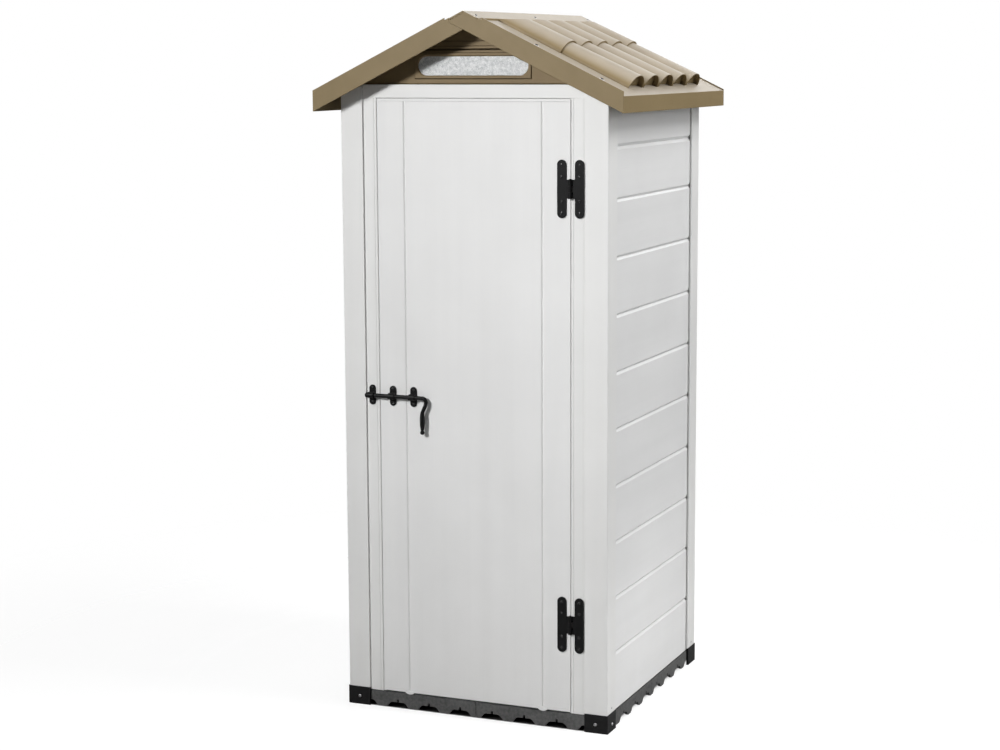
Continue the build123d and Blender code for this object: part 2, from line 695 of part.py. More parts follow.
# one roof half, as both sides share it
with BuildPart() as roof_half:
    # tile rolls in two overlapping courses
    for course in range(2):
        u0, u1 = ROLL_U[course] - (2.0 if course else 0.0), ROLL_U[course + 1]
        for v in roll_rows:
            for u, (a, b) in ((u0, ROLL_SMALL), (u1, ROLL_LARGE)):
                with BuildSketch(slope_plane(1, u, 0)):
                    with BuildLine():
                        EllipticalCenterArc((v, 0), a, b, start_angle=0, arc_size=180)
                        Polyline((v - a, 0), (v - a, -2.0), (v + a, -2.0), (v + a, 0))
                    make_face()
            loft(ruled=True)
    block(-600, 600, -600, 600, ROLL_FLAT_Z, 2200, mode=Mode.SUBTRACT)
    block(-600, RIDGE_HALF + 0.4, -600, 600, 1700, 2200, mode=Mode.SUBTRACT)
    # recessed lower ends of the rolls
    for v in roll_rows:
        with BuildSketch(slope_plane(1, ROLL_U[2] - ROLL_RECESS, 0)):
            with BuildLine():
                EllipticalCenterArc(
                    (v, 0),
                    ROLL_LARGE[0] - ROLL_RIM,
                    ROLL_LARGE[1] - ROLL_RIM,
                    start_angle=0,
                    arc_size=180,
                )
                Line((v - ROLL_LARGE[0] + ROLL_RIM, 0), (v + ROLL_LARGE[0] - ROLL_RIM, 0))
            make_face()
        extrude(amount=ROLL_RECESS + 2.0, mode=Mode.SUBTRACT)
    # sheet
    with BuildSketch(Plane.XZ):
        with BuildLine():
            Polyline(
                (0.4, sheet_z(0.4)),
                (ROOF_X, sheet_z(ROOF_X)),
                (ROOF_X, under_z(ROOF_X)),
                (0.4, under_z(0.4)),
                (0.4, sheet_z(0.4)),
            )
        make_face()
    extrude(amount=BARGE_Y - 1.0, both=True)
    # eave fascia
    block(
        ROOF_X - FASCIA,
        ROOF_X,
        -(BARGE_Y - 1.0),
        BARGE_Y - 1.0,
        lip_z(ROOF_X) - FASCIA_TALL,
        under_z(ROOF_X) + 1.0,
    )
    # sloping fascias with their raised lips, front and rear
    notch = RIDGE_HALF + 0.6
    front_top = [
        (ROOF_X, lip_z(ROOF_X)),
        (LIP_START, lip_z(LIP_START)),
        (LIP_START, lip_z(LIP_START) - LIP_NOTCH),
        (notch, lip_z(notch) - LIP_NOTCH),
        (notch, sheet_z(notch)),
    ]
    rear_top = [
        (ROOF_X, sheet_z(ROOF_X) + REAR_LIP),
        (notch, sheet_z(notch) + REAR_LIP),
        (notch, sheet_z(notch)),
    ]
    for y, top in ((-BARGE_Y, front_top), (BARGE_Y - FASCIA, rear_top)):
        with BuildSketch(Plane.XZ.offset(-y)):
            with BuildLine():
                Polyline(
                    (0.4, lip_z(0.4) - FASCIA_TALL),
                    (ROOF_X, lip_z(ROOF_X) - FASCIA_TALL),
                    *top,
                    (0.4, sheet_z(0.4)),
                    (0.4, lip_z(0.4) - FASCIA_TALL),
                )
            make_face()
        extrude(amount=-FASCIA)
    add(roll_room.part, mode=Mode.SUBTRACT)
    for seat in RIM_SCREWS + RIDGE_SCREWS:
        with BuildSketch(seat):
            Circle(2.0)
        extrude(amount=-13.0, mode=Mode.SUBTRACT)

with BuildPart() as roof_right:
    add(roof_half.part)
    # tongues that reach across the ridge, in front of the left half's cut-back ends
    for y in (-BARGE_Y, BARGE_Y - FASCIA):
        with BuildSketch(Plane.XZ.offset(-y)):
            with BuildLine():
                Polyline(
                    (1.0, lip_z(0) - FASCIA_TALL),
                    (0.0, lip_z(0) - FASCIA_TALL),
                    (-RIDGE_HALF, TONGUE_LOW),
                    (-RIDGE_HALF, sheet_z(RIDGE_HALF) - 0.3),
                    (0.0, sheet_z(0) - 0.3),
                    (1.0, sheet_z(0) - 0.8),
                    (1.0, lip_z(0) - FASCIA_TALL),
                )
            make_face()
        extrude(amount=-FASCIA)
roof_right.part.label = "roof_right"
export_step(roof_right.part, "parts/roof_right.step")

with BuildPart() as roof_left:
    mirror(roof_half.part, about=Plane.YZ)
    # room for the right half's tongues
    for y in (-BARGE_Y - 1.0, BARGE_Y - FASCIA - 0.3):
        with BuildSketch(Plane.XZ.offset(-y)):
            with BuildLine():
                Polyline(
                    (1.0, RIDGE_TOP),
                    (-RIDGE_HALF - 0.3, RIDGE_TOP),
                    (-RIDGE_HALF - 0.3, TONGUE_LOW - 0.3),
                    (0.0, lip_z(0) - FASCIA_TALL - 0.5),
                    (1.0, lip_z(0) - FASCIA_TALL - 0.5),
                    (1.0, RIDGE_TOP),
                )
            make_face()
        extrude(amount=-(FASCIA + 1.3), mode=Mode.SUBTRACT)
roof_left.part.label = "roof_left"
export_step(roof_left.part, "parts/roof_left.step")

with BuildPart() as ridge_cap:
    low = LIP_APEX - LIP + 0.1
    with BuildSketch(Plane.XZ):
        with BuildLine():
            Polyline(
                (0, RIDGE_TOP),
                (RIDGE_HALF, RIDGE_TOP - SLOPE * RIDGE_HALF),
                (RIDGE_HALF, low - SLOPE * RIDGE_HALF),
                (0, low),
                (-RIDGE_HALF, low - SLOPE * RIDGE_HALF),
                (-RIDGE_HALF, RIDGE_TOP - SLOPE * RIDGE_HALF),
                (0, RIDGE_TOP),
            )
        make_face()
    extrude(amount=ROOF_Y, both=True)
    for seat in RIDGE_SCREWS:
        with BuildSketch(seat):
            Circle(2.0)
        extrude(amount=-13.0, mode=Mode.SUBTRACT)
ridge_cap.part.label = "ridge_cap"
export_step(ridge_cap.part, "parts/ridge_cap.step")

# ------------------------------------------------------------------ door
seam = DOOR_SEAM
body_z0, body_z1 = DOOR_Z0 + DOOR_CAP + 0.2, DOOR_Z1 - DOOR_CAP - 0.2
mid_y = (Y_FACE + Y_BACK) / 2
for name, sx in (("latch", -1), ("hinge", 1)):
    outline = [
        (seam + 0.1, Y_FACE + 2.5),
        (seam + 3.6, Y_FACE),
        (DOOR_HALF - 1.2, Y_FACE),
        (DOOR_HALF, Y_FACE + 1.2),
        (DOOR_HALF, Y_FACE + DOOR_FLANGE),
        (DOOR_BODY, Y_FACE + DOOR_FLANGE),
        (DOOR_BODY, Y_BACK),
        (seam + 0.1, Y_BACK),
        (seam + 0.1, Y_FACE + 2.5),
    ]
    with BuildPart() as door_stile:
        with BuildSketch(Plane.XY.offset(body_z0)):
            with BuildLine():
                Polyline(*[(sx * a, b) for a, b in outline])
            make_face()
            with Locations((sx * 231.0, mid_y), (sx * 268.5, mid_y)):
                Rectangle(35.0, BOARD - 2 * SKIN - 0.6, mode=Mode.SUBTRACT)
        extrude(amount=body_z1 - body_z0)
        seats = DOOR_LEAF_SCREWS if sx > 0 else STAPLE_SCREWS
        for seat in seats:
            with BuildSketch(seat):
                Circle(2.0)
            extrude(amount=-9.0, mode=Mode.SUBTRACT)
    door_stile.part.label = f"door_{name}_stile"
    export_step(door_stile.part, f"parts/door_{name}_stile.step")

with BuildPart() as door_center_panel:
    with BuildSketch(Plane.XY.offset(body_z0)):
        with BuildLine():
            Polyline(
                (-seam + 0.1, Y_FACE + 2.5),
                (-seam + 3.6, Y_FACE),
                (seam - 3.6, Y_FACE),
                (seam - 0.1, Y_FACE + 2.5),
                (seam - 0.1, Y_BACK),
                (-seam + 0.1, Y_BACK),
                (-seam + 0.1, Y_FACE + 2.5),
            )
        make_face()
        with GridLocations(40.6, 1, 10, 1):
            with Locations((0, mid_y)):
                Rectangle(38.8, BOARD - 2 * SKIN - 0.6, mode=Mode.SUBTRACT)
    extrude(amount=body_z1 - body_z0)
    for seat in STAPLE_SCREWS:
        with BuildSketch(seat):
            Circle(2.0)
        extrude(amount=-9.0, mode=Mode.SUBTRACT)
door_center_panel.part.label = "door_center_panel"
export_step(door_center_panel.part, "parts/door_center_panel.step")

with BuildPart() as door_top_cap:
    block(-DOOR_HALF, DOOR_HALF, Y_FACE, Y_FACE + DOOR_FLANGE, DOOR_Z1 - DOOR_CAP, DOOR_Z1)
    block(-DOOR_BODY, DOOR_BODY, Y_FACE + 1, Y_BACK, DOOR_Z1 - DOOR_CAP, DOOR_BODY_Z1)
    front = door_top_cap.edges().filter_by(Axis.X).group_by(Axis.Y)[0]
    chamfer(front, length=0.8)
door_top_cap.part.label = "door_top_cap"
export_step(door_top_cap.part, "parts/door_top_cap.step")

with BuildPart() as door_bottom_cap:
    block(-DOOR_HALF, DOOR_HALF, Y_FACE, Y_FACE + DOOR_FLANGE, DOOR_Z0, DOOR_Z0 + DOOR_CAP)
    block(-DOOR_BODY, DOOR_BODY, Y_FACE + 1, Y_BACK, DOOR_Z0, DOOR_Z0 + DOOR_CAP)
    # drip tabs below the two joints, in front of the floor's edge
    with BuildSketch(Plane.XZ.offset(-(Y_FACE + 0.5))):
        for x in (-seam, seam):
            with BuildLine():
                Polyline(
                    (x - 15, DOOR_Z0 + 5),
                    (x - 14, DOOR_Z0 - 0.5),
                    (x - 8, DOOR_Z0 - 4.0),
                    (x - 3, DOOR_Z0 - 5.2),
                    (x + 3, DOOR_Z0 - 5.2),
                    (x + 8, DOOR_Z0 - 4.0),
                    (x + 14, DOOR_Z0 - 0.5),
                    (x + 15, DOOR_Z0 + 5),
                    (x - 15, DOOR_Z0 + 5),
                )
            make_face()
    extrude(amount=2.5)
door_bottom_cap.part.label = "door_bottom_cap"
export_step(door_bottom_cap.part, "parts/door_bottom_cap.step")

# ------------------------------------------------------------------ hinges
for name, hz in HINGE_Z.items():
    with BuildPart() as door_leaf:
        with BuildSketch(Plane.XZ.offset(-Y_FACE)):
            with Locations((DOOR_LEAF_X, hz)):
                SlotOverall(LEAF_TALL, LEAF_WIDE, rotation=90)
            with Locations(((DOOR_LEAF_X + AXIS_X) / 2, hz)):
                Rectangle(AXIS_X - DOOR_LEAF_X, 2 * KNUCKLE_MID)
            with Locations(((DOOR_LEAF_X + AXIS_X - WEB_GAP) / 2, hz)):
                Rectangle(AXIS_X - WEB_GAP - DOOR_LEAF_X, 2 * KNUCKLE_HALF - 2.0)
            with Locations(*[(DOOR_LEAF_X, hz + dz) for dz in LEAF_HOLES]):
                Circle(2.2, mode=Mode.SUBTRACT)
        extrude(amount=LEAF_THICK)
        with BuildSketch(Plane.XY.offset(hz - KNUCKLE_MID)):
            with Locations((AXIS_X, AXIS_Y)):
                Circle(KNUCKLE_R)
        extrude(amount=2 * KNUCKLE_MID)
        with BuildSketch(Plane.XY.offset(hz - KNUCKLE_MID)):
            with Locations((AXIS_X, AXIS_Y)):
                Circle(PIN_R + PIN_PLAY)
        extrude(amount=2 * KNUCKLE_MID, mode=Mode.SUBTRACT)
    door_leaf.part.label = f"{name}_hinge_door_leaf"
    export_step(door_leaf.part, f"parts/{name}_hinge_door_leaf.step")

    with BuildPart() as jamb_leaf:
        with BuildSketch(Plane.XZ.offset(-Y_FACE)):
            with Locations((JAMB_LEAF_X, hz)):
                SlotOverall(LEAF_TALL, LEAF_WIDE, rotation=90)
            tall = KNUCKLE_HALF - KNUCKLE_END
            with Locations(
                ((JAMB_LEAF_X + AXIS_X) / 2, hz + KNUCKLE_END + tall / 2),
                ((JAMB_LEAF_X + AXIS_X) / 2, hz - KNUCKLE_END - tall / 2),
            ):
                Rectangle(JAMB_LEAF_X - AXIS_X, tall)
            with Locations(((JAMB_LEAF_X + AXIS_X + WEB_GAP) / 2, hz)):
                Rectangle(JAMB_LEAF_X - AXIS_X - WEB_GAP, 2 * KNUCKLE_HALF)
            with Locations(*[(JAMB_LEAF_X, hz + dz) for dz in LEAF_HOLES]):
                Circle(2.2, mode=Mode.SUBTRACT)
        extrude(amount=LEAF_THICK)
        for low in (hz + KNUCKLE_END, hz - KNUCKLE_HALF):
            with BuildSketch(Plane.XY.offset(low)):
                with Locations((AXIS_X, AXIS_Y)):
                    Circle(KNUCKLE_R)
            extrude(amount=tall)
            with BuildSketch(Plane.XY.offset(low)):
                with Locations((AXIS_X, AXIS_Y)):
                    Circle(PIN_R)
            extrude(amount=tall, mode=Mode.SUBTRACT)
    jamb_leaf.part.label = f"{name}_hinge_jamb_leaf"
    export_step(jamb_leaf.part, f"parts/{name}_hinge_jamb_leaf.step")

    with BuildPart() as hinge_pin:
        with BuildSketch(Plane.XY.offset(hz - KNUCKLE_HALF)):
            with Locations((AXIS_X, AXIS_Y)):
                Circle(PIN_R)
        extrude(amount=2 * KNUCKLE_HALF)
        with BuildSketch(Plane.XY.offset(hz + KNUCKLE_HALF)):
            with Locations((AXIS_X, AXIS_Y)):
                Circle(4.2)
        extrude(amount=2.0)
        top = hinge_pin.edges().group_by(Axis.Z)[-1]
        fillet(top, radius=1.2)
    hinge_pin.part.label = f"{name}_hinge_pin"
    export_step(hinge_pin.part, f"parts/{name}_hinge_pin.step")

# ------------------------------------------------------------------ latch
for name, x in STAPLES.items():
    with BuildPart() as staple:
        with BuildSketch(Plane.XZ.offset(-Y_FACE)):
            with Locations((x, BOLT_Z)):
                SlotOverall(STAPLE_TALL, STAPLE_WIDE, rotation=90)
            with Locations(*[(x, BOLT_Z + dz) for dz in STAPLE_HOLES]):
                Circle(2.2, mode=Mode.SUBTRACT)
        extrude(amount=STAPLE_THICK)
        with BuildSketch(Plane.YZ.offset(x - STAPLE_WIDE / 2 + 0.6)):
            with Locations((BOLT_Y, BOLT_Z)):
                Circle(SADDLE_R)
            with Locations(((BOLT_Y + Y_FACE) / 2, BOLT_Z)):
                Rectangle(Y_FACE - BOLT_Y, 2 * SADDLE_R)
            with Locations((Y_FACE + 10, BOLT_Z)):
                Rectangle(20, 60, mode=Mode.SUBTRACT)
        extrude(amount=STAPLE_WIDE - 1.2)
        with BuildSketch(Plane.YZ.offset(x)):
            with Locations((BOLT_Y, BOLT_Z)):
                Circle(BOLT_R + BOLT_PLAY)
        extrude(amount=STAPLE_WIDE, both=True, mode=Mode.SUBTRACT)
    staple.part.label = f"bolt_staple_{name}"
    export_step(staple.part, f"parts/bolt_staple_{name}.step")

with BuildPart() as bolt_keeper:
    keeper_end = -333.5
    with BuildSketch(Plane.XZ.offset(-Y_FACE)):
        with Locations((KEEPER_X, BOLT_Z)):
            SlotOverall(STAPLE_TALL, STAPLE_WIDE, rotation=90)
        with Locations(*[(KEEPER_X, BOLT_Z + dz) for dz in STAPLE_HOLES]):
            Circle(2.2, mode=Mode.SUBTRACT)
    extrude(amount=STAPLE_THICK)
    with BuildSketch(Plane.YZ.offset(KEEPER_X - STAPLE_WIDE / 2 + 0.6)):
        with Locations((BOLT_Y, BOLT_Z)):
            Circle(SADDLE_R)
        with Locations(((BOLT_Y + Y_FACE) / 2, BOLT_Z)):
            Rectangle(Y_FACE - BOLT_Y, 2 * SADDLE_R)
        with Locations((Y_FACE + 10, BOLT_Z)):
            Rectangle(20, 60, mode=Mode.SUBTRACT)
    extrude(amount=STAPLE_WIDE - 1.2)
    # closed socket end beyond the saddle
    with BuildSketch(Plane.YZ.offset(keeper_end)):
        with Locations((BOLT_Y, BOLT_Z)):
            Circle(7.8)
    extrude(amount=KEEPER_X - keeper_end)
    tip = bolt_keeper.edges().group_by(Axis.X)[0]
    fillet(tip, radius=2.0)
    with BuildSketch(Plane.YZ.offset(keeper_end + 2.5)):
        with Locations((BOLT_Y, BOLT_Z)):
            Circle(BOLT_R + BOLT_PLAY)
    extrude(amount=40, mode=Mode.SUBTRACT)
bolt_keeper.part.label = "bolt_keeper"
export_step(bolt_keeper.part, "parts/bolt_keeper.step")

bar_end = STAPLES["inner"] - 0.4
with BuildPart() as bolt_bar:
    with BuildSketch(Plane.YZ.offset(BOLT_TIP)):
        with Locations((BOLT_Y, BOLT_Z)):
            Circle(BOLT_R)
    extrude(amount=bar_end - BOLT_TIP)
    tip = bolt_bar.edges().group_by(Axis.X)[0]
    fillet(tip, radius=2.0)
    with BuildSketch(Plane.YZ.offset(bar_end)):
        with Locations((BOLT_Y, BOLT_Z)):
            Circle(SPIGOT_R)
    extrude(amount=16.0)
bolt_bar.part.label = "bolt_bar"
export_step(bolt_bar.part, "parts/bolt_bar.step")

with BuildPart() as bolt_handle:
    with BuildLine() as path:
        FilletPolyline(
            (STAPLES["inner"], BOLT_Y, BOLT_Z),
            (BEND_X, BOLT_Y, BOLT_Z),
            (BEND_X, BOLT_Y, BOLT_Z - 17),
            (HANDLE_X, HANDLE_Y, BOLT_Z - 43),
            (HANDLE_X, HANDLE_Y, BOLT_Z - 84),
            radius=[12, 22, 22],
        )
    with BuildSketch(
        Plane(origin=(STAPLES["inner"], BOLT_Y, BOLT_Z), x_dir=(0, 1, 0), z_dir=(1, 0, 0))
    ):
        Circle(5.6)
    sweep()
    # swelling grip
    with BuildSketch(
        Plane(origin=(HANDLE_X, HANDLE_Y, 0), x_dir=(1, 0, 0), z_dir=(0, -1, 0))
    ):
        with BuildLine():
            Polyline((0, 836), (0, 887), (5.0, 887))
            Spline((5.0, 887), (6.7, 877), (7.2, 865), (6.6, 851), (5.0, 838))
            Line((5.0, 838), (0, 836))
        make_face()
    revolve(axis=Axis((HANDLE_X, HANDLE_Y, 0), (0, 0, 1)))
    with Locations((HANDLE_X, HANDLE_Y, 836)):
        Cylinder(4.6, 10)
    with Locations((HANDLE_X, HANDLE_Y, 830)):
        Sphere(6.6)
    # socket for the bar's spigot
    with BuildSketch(Plane.YZ.offset(STAPLES["inner"])):
        with Locations((BOLT_Y, BOLT_Z)):
            Circle(SPIGOT_R + 0.05)
    extrude(amount=17.0, mode=Mode.SUBTRACT)
bolt_handle.part.label = "bolt_handle"
export_step(bolt_handle.part, "parts/bolt_handle.step")

# ------------------------------------------------------------------ screws, one node for each set
for name, seats, head, tall, shank, deep in (
    ("base_block_screws", BLOCK_SCREWS, 5.0, 2.6, 2.0, 13.5),
    ("post_foot_screws", POST_SCREWS, 3.0, 1.6, 1.6, 9.5),
    ("roof_rim_screws", RIM_SCREWS, 7.8, 3.0, 2.0, 11.5),
    ("ridge_cap_screws", RIDGE_SCREWS, 5.5, 2.6, 2.0, 9.0),
    ("door_hinge_screws", DOOR_LEAF_SCREWS, 4.4, 1.8, 2.0, 8.5),
    ("jamb_hinge_screws", JAMB_LEAF_SCREWS, 4.4, 1.8, 2.0, 8.5),
    ("bolt_staple_screws", STAPLE_SCREWS, 4.2, 1.8, 2.0, 8.5),
    ("bolt_keeper_screws", KEEPER_SCREWS, 4.2, 1.8, 2.0, 8.5),
):
    with BuildPart() as screws:
        for seat in seats:
            with BuildSketch(seat):
                Circle(head)
            extrude(amount=tall, taper=28)
            with BuildSketch(seat):
                Circle(shank)
            extrude(amount=-deep)
    screws.part.label = name
    export_step(screws.part, f"parts/{name}.step")
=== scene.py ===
import math

import bmesh
import bpy
import numpy as np
from mathutils import Matrix, Vector


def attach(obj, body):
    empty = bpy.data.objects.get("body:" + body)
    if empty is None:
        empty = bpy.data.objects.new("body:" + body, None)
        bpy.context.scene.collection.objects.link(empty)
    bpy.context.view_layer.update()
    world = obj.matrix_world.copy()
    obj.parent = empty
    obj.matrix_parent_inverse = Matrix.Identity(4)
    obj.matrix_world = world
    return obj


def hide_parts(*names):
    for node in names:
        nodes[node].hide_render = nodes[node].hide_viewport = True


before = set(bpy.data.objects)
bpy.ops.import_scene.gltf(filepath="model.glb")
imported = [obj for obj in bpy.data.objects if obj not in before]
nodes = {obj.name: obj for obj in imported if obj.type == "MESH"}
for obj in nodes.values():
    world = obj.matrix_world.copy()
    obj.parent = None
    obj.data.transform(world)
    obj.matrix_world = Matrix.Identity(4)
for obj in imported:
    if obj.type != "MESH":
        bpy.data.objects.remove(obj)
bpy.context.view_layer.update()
scene = bpy.context.scene
scene.view_settings.view_transform = "Standard"
scene.view_settings.look = "None"


# ------------------------------------------------------------------ material helpers
class Tree:
    """A small builder for one procedural material."""

    def __init__(self, name, colour, rough, metallic=0.0):
        self.mat = bpy.data.materials.new(name)
        self.mat.use_nodes = True
        self.nt = self.mat.node_tree
        self.bsdf = next(n for n in self.nt.nodes if n.type == "BSDF_PRINCIPLED")
        self.bsdf.inputs["Base Color"].default_value = (*colour, 1.0)
        self.bsdf.inputs["Roughness"].default_value = rough
        self.bsdf.inputs["Metallic"].default_value = metallic
        self.coord = self.nt.nodes.new("ShaderNodeTexCoord").outputs["Object"]

    def node(self, kind, **props):
        n = self.nt.nodes.new(kind)
        for k, v in props.items():
            setattr(n, k, v)
        return n

    def put(self, socket, value):
        if hasattr(value, "is_linked"):
            self.nt.links.new(value, socket)
        else:
            socket.default_value = value

    def scaled(self, scale, shift=(0.0, 0.0, 0.0)):
        m = self.node("ShaderNodeMapping")
        self.put(m.inputs["Vector"], self.coord)
        m.inputs["Scale"].default_value = scale
        m.inputs["Location"].default_value = shift
        return m.outputs["Vector"]

    def noise(self, scale, detail=3.0, rough=0.55, distort=0.0, size=1.0, shift=(0, 0, 0)):
        n = self.node("ShaderNodeTexNoise")
        self.put(n.inputs["Vector"], self.scaled(scale, shift))
        n.inputs["Scale"].default_value = size
        n.inputs["Detail"].default_value = detail
        n.inputs["Roughness"].default_value = rough
        n.inputs["Distortion"].default_value = distort
        return n.outputs["Fac"]

    def cells(self, scale, feature="F1"):
        n = self.node("ShaderNodeTexVoronoi", feature=feature)
        self.put(n.inputs["Vector"], self.scaled((1, 1, 1)))
        n.inputs["Scale"].default_value = scale
        return n.outputs["Distance"]

    def span(self, value, lo, hi, to_lo=0.0, to_hi=1.0):
        n = self.node("ShaderNodeMapRange", clamp=True)
        self.put(n.inputs["Value"], value)
        n.inputs["From Min"].default_value = lo
        n.inputs["From Max"].default_value = hi
        n.inputs["To Min"].default_value = to_lo
        n.inputs["To Max"].default_value = to_hi
        return n.outputs["Result"]

    def math(self, op, a, b=0.0):
        n = self.node("ShaderNodeMath", operation=op)
        self.put(n.inputs[0], a)
        self.put(n.inputs[1], b)
        return n.outputs[0]

    def mix(self, factor, a, b, mode="MIX"):
        n = self.node("ShaderNodeMix", data_type="RGBA", blend_type=mode)
        self.put(n.inputs["Factor"], factor)
        self.put(n.inputs["A"], a if hasattr(a, "is_linked") else (*a, 1.0))
        self.put(n.inputs["B"], b if hasattr(b, "is_linked") else (*b, 1.0))
        return n.outputs["Result"]

    def axis(self, index):
        n = self.node("ShaderNodeSeparateXYZ")
        self.put(n.inputs[0], self.coord)
        return n.outputs[index]

    def upward(self):
        g = self.node("ShaderNodeNewGeometry")
        n = self.node("ShaderNodeSeparateXYZ")
        self.put(n.inputs[0], g.outputs["Normal"])
        return n.outputs[2]

    def corner(self, distance):
        """1 deep in corners and grooves of the piece itself, 0 in the open."""
        n = self.node("ShaderNodeAmbientOcclusion", samples=6, only_local=True)
        n.inputs["Distance"].default_value = distance
        return self.math("SUBTRACT", 1.0, n.outputs["AO"])

    def rounded(self, radius):
        n = self.node("ShaderNodeBevel", samples=4)
        n.inputs["Radius"].default_value = radius
        return n.outputs["Normal"]

    def edges(self, normal):
        """1 on the piece's outer and inner edges, where the rounded normal leaves the flat one."""
        g = self.node("ShaderNodeNewGeometry")
        d = self.node("ShaderNodeVectorMath", operation="DOT_PRODUCT")
        self.put(d.inputs[0], normal)
        self.put(d.inputs[1], g.outputs["Normal"])
        return self.span(d.outputs["Value"], 0.995, 0.86)

    def bump(self, height, strength, distance, normal=None):
        n = self.node("ShaderNodeBump")
        self.put(n.inputs["Height"], height)
        n.inputs["Strength"].default_value = strength
        n.inputs["Distance"].default_value = distance
        if normal is not None:
            self.put(n.inputs["Normal"], normal)
        return n.outputs["Normal"]

    def set(self, **sockets):
        for k, v in sockets.items():
            self.put(self.bsdf.inputs[k.replace("_", " ")], v)
        return self.mat


def pvc(name, colour, along, grain=1.0, dirt=0.5):
    """Satin white extruded PVC: streaks along the extrusion, soft mottling, grime low down, painted shade with
    grime in the grooves and painted highlights on the edges.
    """
    t = Tree(name, colour, 0.42)
    fine = [420.0, 420.0, 420.0]
    fine[along] = 5.0
    broad = [26.0, 26.0, 26.0]
    broad[along] = 0.7
    streak = t.noise(tuple(fine), detail=4.0, rough=0.62, distort=0.15)
    band = t.noise(tuple(broad), detail=3.0, rough=0.5, shift=(3.1, 1.7, 5.2))
    mottle = t.noise((2.6, 2.6, 2.6), detail=4.0, rough=0.6)
    pores = t.noise((900.0, 900.0, 900.0), detail=2.0)
    low = tuple(c * 0.960 for c in colour)
    high = tuple(min(1.0, c * 1.02) for c in colour)
    tone = t.math("ADD", t.math("MULTIPLY", band, 0.35), t.math("MULTIPLY", mottle, 0.65))
    base = t.mix(t.span(tone, 0.34, 0.66), low, high)
    base = t.mix(t.span(streak, 0.40, 0.24, 0.0, 0.16 * grain), base, tuple(c * 0.80 for c in colour))
    splash = t.math(
        "MULTIPLY",
        t.span(t.axis(2), 0.62, 0.05, 0.0, 1.0),
        t.span(t.noise((9.0, 9.0, 4.0), detail=5.0, rough=0.65), 0.30, 0.75, 0.25, 1.0),
    )
    base = t.mix(t.math("MULTIPLY", splash, 0.30 * dirt), base, (0.56, 0.535, 0.50))
    # painted shade with grime: the piece's grooves and corners are darkened toward grey
    groove_shade = t.span(t.corner(0.011), 0.30, 0.80, 0.0, 0.42)
    base = t.mix(groove_shade, base, (0.30, 0.295, 0.285))
    soft = t.rounded(0.0011)
    edge = t.edges(soft)
    # painted highlight: the piece's edges are lightened toward a brighter white
    base = t.mix(t.math("MULTIPLY", edge, 0.22), base, (0.93, 0.93, 0.925))
    height = t.math(
        "ADD",
        t.math("MULTIPLY", streak, 0.75 * grain),
        t.math("MULTIPLY", pores, 0.25),
    )
    rough = t.math(
        "ADD",
        t.span(mottle, 0.3, 0.7, 0.36, 0.47),
        t.math("MULTIPLY", streak, 0.10),
    )
    return t.set(
        Base_Color=base,
        Roughness=rough,
        Normal=t.bump(height, 0.30, 0.00035, soft),
        Specular_IOR_Level=0.45,
    )


def moulded(name, colour, light, dark, rough, grain, speck, rub_and_highlight_gain=0.35, top_sheen=0.0, top_sheen_colour=(0.5, 0.45, 0.37), spec=0.5, radius=0.0011, patch=3.4):
    """Moulded plastic with a fine spark grain, cloudy colour, painted shade with dust in the corners, rubbed edges
    with a painted highlight, and a painted sheen on upward faces when asked for.
    """
    t = Tree(name, colour, rough)
    cloud = t.noise((patch, patch, patch), detail=5.0, rough=0.6)
    flow = t.noise((14.0, 5.0, 14.0), detail=3.0, rough=0.55, shift=(4.0, 2.0, 1.0))
    spark = t.noise((grain, grain, grain), detail=3.0, rough=0.6)
    specks = t.cells(grain * 0.32)
    tone = t.math("ADD", t.math("MULTIPLY", cloud, 0.6), t.math("MULTIPLY", flow, 0.4))
    base = t.mix(t.span(tone, 0.34, 0.66), dark, light)
    base = t.mix(t.span(specks, 0.16, 0.02, 0.0, speck), base, tuple(c * 0.55 for c in colour))
    # painted sheen: faces that point upward are lightened and greyed, standing in for the top light and sheen
    # falling on them
    if top_sheen:
        top_sheen_mask = t.math(
            "MULTIPLY",
            t.span(t.upward(), 0.35, 0.98),
            t.span(cloud, 0.3, 0.7, 0.75, 1.0),
        )
        base = t.mix(t.math("MULTIPLY", top_sheen_mask, top_sheen), base, top_sheen_colour)
    # painted shade with dust: the piece's corners and grooves are darkened
    base = t.mix(t.span(t.corner(0.016), 0.30, 0.85, 0.0, 0.5), base, tuple(c * 0.35 for c in colour))
    soft = t.rounded(radius)
    edge = t.edges(soft)
    # rubbed edges with a painted highlight: the piece's edges are lightened
    rub_and_highlight = t.math("MULTIPLY", edge, t.span(t.noise((35.0, 35.0, 35.0), detail=4.0), 0.35, 0.65, 0.35, 1.0))
    base = t.mix(t.math("MULTIPLY", rub_and_highlight, rub_and_highlight_gain), base, tuple(min(1.0, c * 1.7 + 0.02) for c in colour))
    height = t.math("ADD", t.math("MULTIPLY", spark, 0.8), t.math("MULTIPLY", cloud, 0.2))
    return t.set(
        Base_Color=base,
        Roughness=t.span(spark, 0.3, 0.7, rough - 0.07, rough + 0.09),
        Normal=t.bump(height, 0.35, 0.0004, soft),
        Specular_IOR_Level=spec,
    )


